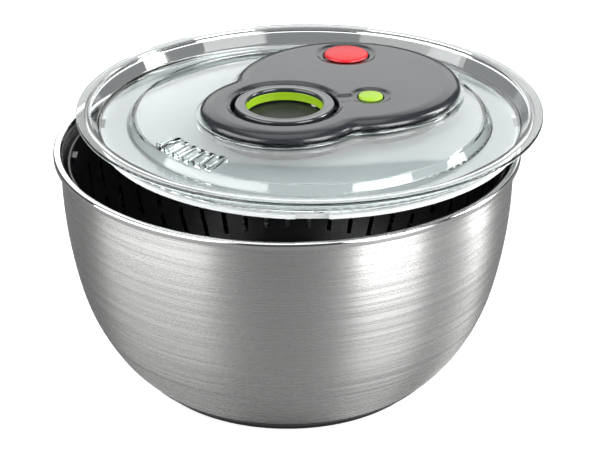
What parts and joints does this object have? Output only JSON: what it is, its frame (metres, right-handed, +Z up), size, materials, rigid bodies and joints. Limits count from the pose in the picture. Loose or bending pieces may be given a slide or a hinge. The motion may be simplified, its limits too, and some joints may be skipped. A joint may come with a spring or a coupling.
{
  "type": "salad spinner",
  "caption": "Pull-cord salad spinner: round steel bowl, slotted basket, clear vented lid lifted off to one side, and a flat two-lobed drive housing with a pull ring, brake and catch buttons.",
  "frame": {"origin": "on the bowl's axis at the underside of its base pad", "axes": "+Z up along the bowl's axis; the lid stands raised and shifted towards +X; -Y is the front, the pour slots lie towards -X and -Y"},
  "size_m": [0.276, 0.265, 0.1702],
  "materials": {
    "steel": "brushed round the bowl, polished rim",
    "steel_small": "plain turned steel",
    "spring_steel": "plain wire and strip",
    "base_rubber": "matt black",
    "brake_rubber": "matt dark grey",
    "basket_black": "satin black",
    "clear_lid": "clear, glossy, faint blue-grey edge",
    "frosted": "frosted clear",
    "charcoal": "satin charcoal",
    "inner_black": "plain black",
    "acetal": "natural acetal",
    "red": "satin red",
    "green": "satin lime green",
    "cord": "braided black cord"
  },
  "bodies": {
    "bowl": {"bowl": "steel", "base_pad": "base_rubber"},
    "basket": {"basket": "basket_black", "basket_bearing": "acetal"},
    "lid": {"lid_shell": "clear_lid", "drive_housing": "charcoal", "drive_tray": "inner_black", "tray_screws": "steel_small", "spool_axle": "steel_small", "spindle_bush": "acetal", "cord_guide": "acetal", "cord_lead": "cord", "recoil_spring": "spring_steel", "brake_spring": "spring_steel", "catch_spring": "spring_steel"},
    "handle": {"handle_ring": "charcoal", "handle_grip": "green", "cord_ferrule": "steel_small", "pull_cord": "cord"},
    "spool": {"cord_spool": "acetal", "cord_winding": "cord", "spool_gear": "acetal"},
    "pinion": {"drive_pinion": "acetal"},
    "carrier": {"carrier_plate": "frosted", "spindle": "steel_small", "spindle_clip": "spring_steel", "carrier_screw": "steel_small", "clutch_pawls": "steel_small"},
    "brake": {"brake_button": "red", "brake_plunger": "inner_black", "brake_pad": "brake_rubber"},
    "catch_button": {"catch_button": "green"},
    "catch_bar": {"catch_bar": "inner_black"}
  },
  "joints": [
    {"name": "lid_lift", "type": "slide", "parent": "bowl", "child": "lid", "axis": [0.5319, 0, 0.8468], "range_m": [-0.0235, 0.18]},
    {"name": "handle_pull", "type": "slide", "parent": "lid", "child": "handle", "axis": [0, 0, 1], "range_m": [0, 0.42], "stiffness_N_per_m": 6, "springref_m": -0.2, "deforming": ["pull_cord"]},
    {"name": "spool_spin", "type": "hinge", "parent": "lid", "child": "spool", "pos_m": [0.04078, 0.02828, 0.1585], "axis": [0, 0, 1], "range_deg": [-1125, 5]},
    {"name": "pinion_spin", "type": "hinge", "parent": "lid", "child": "pinion", "pos_m": [0.0125, 0, 0.1565], "axis": [0, 0, 1], "range_deg": [-5, 3365]},
    {"name": "basket_spin", "type": "hinge", "parent": "bowl", "child": "basket", "pos_m": [0, 0, 0.011], "axis": [0, 0, 1], "continuous": true},
    {"name": "carrier_spin", "type": "hinge", "parent": "lid", "child": "carrier", "pos_m": [0.0125, 0, 0.1505], "axis": [0, 0, 1], "continuous": true},
    {"name": "brake_press", "type": "slide", "parent": "lid", "child": "brake", "axis": [0, 0, -1], "range_m": [0, 0.0018], "stiffness_N_per_m": 900, "springref_m": -0.0012, "deforming": ["brake_spring"]},
    {"name": "catch_press", "type": "slide", "parent": "lid", "child": "catch_button", "axis": [0, 0, -1], "range_m": [0, 0.0018], "stiffness_N_per_m": 500, "springref_m": -0.0012, "deforming": ["catch_spring"]},
    {"name": "catch_slide", "type": "slide", "parent": "lid", "child": "catch_bar", "axis": [0.9772, 0.2124, 0], "range_m": [0, 0.0018]}
  ],
  "couplings": [
    {"joint": "spool_spin", "follows": "handle_pull", "rad_per_m": -46.5},
    {"joint": "pinion_spin", "follows": "handle_pull", "rad_per_m": 139.5},
    {"joint": "carrier_spin", "follows": "basket_spin", "ratio": 1},
    {"joint": "catch_slide", "follows": "catch_press", "ratio": 1}
  ]
}
